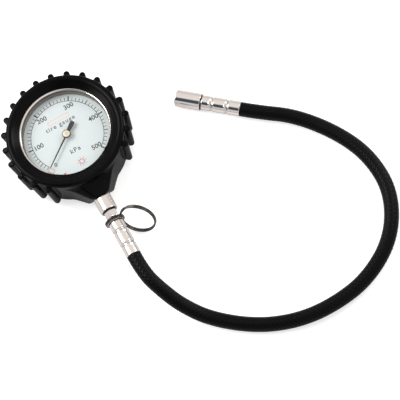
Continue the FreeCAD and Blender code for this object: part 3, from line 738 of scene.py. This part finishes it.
def lettering(name, words, material):
    """Printed words: each is its text, its middle, its height and how much wider it is drawn."""
    points, faces = [], []
    for text, middle, height, stretch_by, weight in words:
        curve = bpy.data.curves.new("word", "FONT")
        curve.body = text
        curve.align_x, curve.align_y = "CENTER", "CENTER"
        curve.size = height / 0.70
        curve.offset = weight
        curve.space_character = stretch_by
        curve.resolution_u = 5
        holder = bpy.data.objects.new("word", curve)
        bpy.context.collection.objects.link(holder)
        mesh = bpy.data.meshes.new_from_object(holder)
        shape = bmesh.new()
        shape.from_mesh(mesh)
        bmesh.ops.remove_doubles(shape, verts=shape.verts, dist=0.0005)
        raised = bmesh.ops.extrude_face_region(shape, geom=shape.faces[:])
        for item in raised["geom"]:
            if isinstance(item, bmesh.types.BMVert):
                item.co.z += print_high - dial_top - 0.004
        shape.verts.index_update()
        start = len(points)
        points += [(v.co.x + middle[0], v.co.y + middle[1], v.co.z + dial_top + 0.004) for v in shape.verts]
        faces += [[start + v.index for v in face.verts] for face in shape.faces]
        shape.free()
        bpy.data.objects.remove(holder)
        bpy.data.meshes.remove(mesh)
    return piece(name, points, faces, material, crease=20)


lettering("dial_numerals", [
    ("100", (-19.6, 2.4), 3.15, 1.0, 0.07), ("200", (-9.6, 17.9), 3.15, 1.0, 0.07),
    ("300", (9.7, 17.7), 3.15, 1.0, 0.07), ("400", (20.0, 2.1), 3.15, 1.0, 0.07),
    ("500", (12.9, -16.3), 3.15, 1.0, 0.07), ("0", (-15.4, -14.2), 2.6, 1.0, 0.05),
    ("kPa", (0.0, -11.4), 3.1, 1.2, 0.02), ("tire gauge", (-0.4, 9.4), 3.0, 1.2, 0.02)], black_ink)

zero_box = [stroke((on_dial(r, 46.2), on_dial(r, 54.4)), 0.22) for r in (24.3, 26.9)]
zero_box += [stroke((on_dial(24.2, c), on_dial(27.0, c)), 0.22) for c in (46.2, 54.4)]
mark_at = np.array([0.2, -20.5])


def round_mark(radius, angle):
    """A place on the round red mark."""
    return mark_at + radius * np.array([math.cos(angle), math.sin(angle)])


rays = [stroke((round_mark(2.3, a), round_mark(3.1, a)), 0.4) for a in np.radians(np.arange(0, 360, 45))]
ring_steps = np.radians(np.arange(0, 361, 15))
loop = [[round_mark(1.3, a), round_mark(1.3, b), round_mark(1.75, b), round_mark(1.75, a)]
        for a, b in zip(ring_steps, ring_steps[1:])]
points, faces = slab(zero_box + rays + loop + [stroke(((-14.0, -22.5), (-12.2, -22.5)), 0.8)])
piece("dial_red_marks", points, faces, red_ink, crease=20)
bar = [stroke(((-7.4, y), (7.4, y)), 0.45) for y in (11.8, 14.2)]
bar += [stroke(((x, 11.8), (x, 14.2)), 0.45) for x in (-7.4, 7.4)]
points, faces = slab(bar)
piece("dial_pink_bar", points, faces, pink_ink, crease=20)

# --- Pointer ------------------------------------------------------------------------------------
# A pressed aluminium needle with a broad tail, painted black, on a turned brass hub with a dark rim.
pointer_paint = ink("black_pointer_paint", "#0d0d0e", "#18181a")
dressed("pointer", pointer_paint)
hub_outline = [(0.85, 25.5, 0), (2.3, 25.5, 0.05), (2.3, 26.55, 0.25), (0.85, 26.6, 0.1)]
points, faces = lathe(rounded(hub_outline, 0.1), 72)
# Lacquered brass: pale, nearly cream, with a soft shine.
lacquered, tree, shader = surface("lacquered_brass", Metallic=0.55, Roughness=0.32, Coat_Weight=0.4)
cloud = noise(tree, 1.5, 2.0)
colour = between(tree, cloud, "#e2c09c", "#f3e2cb")
tree.links.new(colour, shader.inputs["Base Color"])
piece("pointer_boss", points, faces, lacquered, body="pointer_shaft", stands_for=("pointer_hub",),
      crease=40)
rim_outline = [(2.3, 25.5, 0), (2.75, 25.5, 0.1), (2.75, 26.3, 0.2), (2.3, 26.3, 0.05)]
points, faces = lathe(rounded(rim_outline, 0.1), 72)
piece("pointer_boss_rim", points, faces, pointer_paint, body="pointer_shaft",
      crease=40)

# --- Stem ---------------------------------------------------------------------------------------
# A chromed brass neck screwed into the socket block, a black washer, and the hose's hexagon nipple,
# whose flange has a groove for the collar of the key ring.
neck_outline = [(1.5, 22.6, 0), (4.0, 22.6, 0.3), (4.0, 31.6, 0), (5.7, 31.6, 0.2), (5.7, 57.0, 0.55),
                (3.05, 57.0, 0), (3.05, 50.0, 0), (1.5, 50.0, 0)]
points, faces = lathe(rounded(neck_outline, 0.2), 128)
piece("stem_neck", along_stem(points), faces, chrome, stands_for=("neck_adaptor",),
      crease=40)


def across_flats(angles, lengths):
    """The hexagon's reach at each angle, and no limit where the piece is round."""
    sixth = (angles + math.pi / 6) % (math.pi / 3) - math.pi / 6
    reach = 4.0 / np.cos(sixth)
    return np.where((lengths > 57.79) & (lengths < 62.61), reach, 99.0)


nipple_outline = [(1.2, 51.0), (2.9, 51.0), (2.95, 57.8), (4.15, 57.8), (4.45, 57.98), (4.62, 58.25),
                  (4.62, 62.15), (4.45, 62.42), (4.15, 62.6), (3.6, 62.62), (3.6, 63.28), (5.35, 63.3),
                  (5.62, 63.38), (5.74, 63.6), (5.75, 63.92), (5.6, 64.1), (5.44, 64.35), (5.38, 64.6),
                  (5.44, 64.85), (5.6, 65.1), (5.75, 65.28), (5.74, 65.65), (5.55, 65.85), (2.4, 65.9),
                  (2.3, 88.4), (1.2, 88.5)]
fine = []
for (r0, z0), (r1, z1) in zip(nipple_outline, nipple_outline[1:]):
    steps = 10 if (z0, z1) == (58.25, 62.15) else 1
    fine += [(r0 + (r1 - r0) * i / steps, z0 + (z1 - z0) * i / steps) for i in range(steps)]
points, faces = lathe(np.array(fine + [nipple_outline[-1]]), 144, across_flats)
piece("hexagon_nipple", along_stem(points), faces, chrome, stands_for=("hose_nipple",),
      crease=25)

# --- Key ring and collar ------------------------------------------------------------------------
# A collar of two turns of steel wire spins in the nipple's groove. Beside it swings a split ring: two
# turns of hardened wire, one on the other, with a crossing where both ends are cut. Both are black
# nickel.
ring_centre, ring_axis = np.array([13.4, -68.8, 12.2]), np.array([-0.578, -0.719, 0.387])
ring_radius, wire_radius, cut_angle = 11.3, 0.65, 138.0

# Black nickel plate: a dark grey mirror, a little warm, rubbed paler in places.
black_nickel, tree, shader = surface("black_nickel_plate", Metallic=1.0)
worn = noise(tree, 2.0, 4.0)
colour = between(tree, worn, "#2c2a28", "#6e6a66")
gloss = node(tree, "ShaderNodeMapRange", [("Value", worn), ("To Min", 0.16), ("To Max", 0.34)])
tree.links.new(colour, shader.inputs["Base Color"])
tree.links.new(gloss.outputs[0], shader.inputs["Roughness"])


def wire(path_points, radius, closed_line, rounds=14):
    """A round wire along a path of points, its ends cut square and slightly broken."""
    path_points = np.asarray(path_points)
    if closed_line:
        ahead = np.roll(path_points, -1, 0) - np.roll(path_points, 1, 0)
    else:
        ahead = np.gradient(path_points, axis=0)
    ahead /= np.linalg.norm(ahead, axis=1)[:, None]
    middle = path_points.mean(axis=0)
    outward = path_points - middle
    outward -= ahead * np.sum(outward * ahead, axis=1)[:, None]
    outward /= np.linalg.norm(outward, axis=1)[:, None]
    across = np.cross(ahead, outward)
    angles = np.arange(rounds) / rounds * 2 * math.pi
    radii = np.full(len(path_points), radius)
    if not closed_line:
        radii[0] = radii[-1] = radius * 0.86
    round_way = (np.cos(angles)[None, :, None] * outward[:, None]
                 + np.sin(angles)[None, :, None] * across[:, None])
    sections = path_points[:, None] + radii[:, None, None] * round_way
    return wrapped(sections, closed_line)


ring_axis /= np.linalg.norm(ring_axis)
ring_u = np.cross((0, 0, 1.0), ring_axis)
ring_u /= np.linalg.norm(ring_u)
ring_v = np.cross(ring_axis, ring_u)
sweep = np.linspace(0, 708, 237)
crossing = np.clip((sweep - 338) / 32, 0, 1)
lift = wire_radius * 0.99 * (2 * (3 * crossing ** 2 - 2 * crossing ** 3) - 1)
angles = np.radians(sweep + cut_angle)
flare = ring_radius + 0.55 * np.clip((sweep - 664) / 44, 0, 1) ** 2
coil = ring_centre + flare[:, None] * (np.cos(angles)[:, None] * ring_u + np.sin(angles)[:, None] * ring_v)
coil = coil + lift[:, None] * ring_axis
coil = np.concatenate([coil[:1] + (coil[:1] - coil[1:2]) * 0.15, coil,
                       coil[-1:] + (coil[-1:] - coil[-2:-1]) * 0.15])
points, faces = wire(coil, wire_radius, False)
piece("split_key_ring", points, faces, black_nickel, body="key_ring", stands_for=("split_ring",),
      crease=50)

collar_radius, collar_wire = 6.22, 0.43
angles = np.arange(96) / 96 * 2 * math.pi
points, faces = [], []
for place_y in (-64.02, -65.18):
    hoop = np.stack([collar_radius * np.cos(angles), np.full(96, place_y),
                     stem_height + collar_radius * np.sin(angles)], axis=1)
    turn_points, turn_faces = wire(hoop, collar_wire, True)
    faces += [[corner + len(points) for corner in face] for face in turn_faces]
    points += turn_points.tolist()
piece("collar_hoop", points, faces, black_nickel, body="collar", stands_for=("collar_ring",))
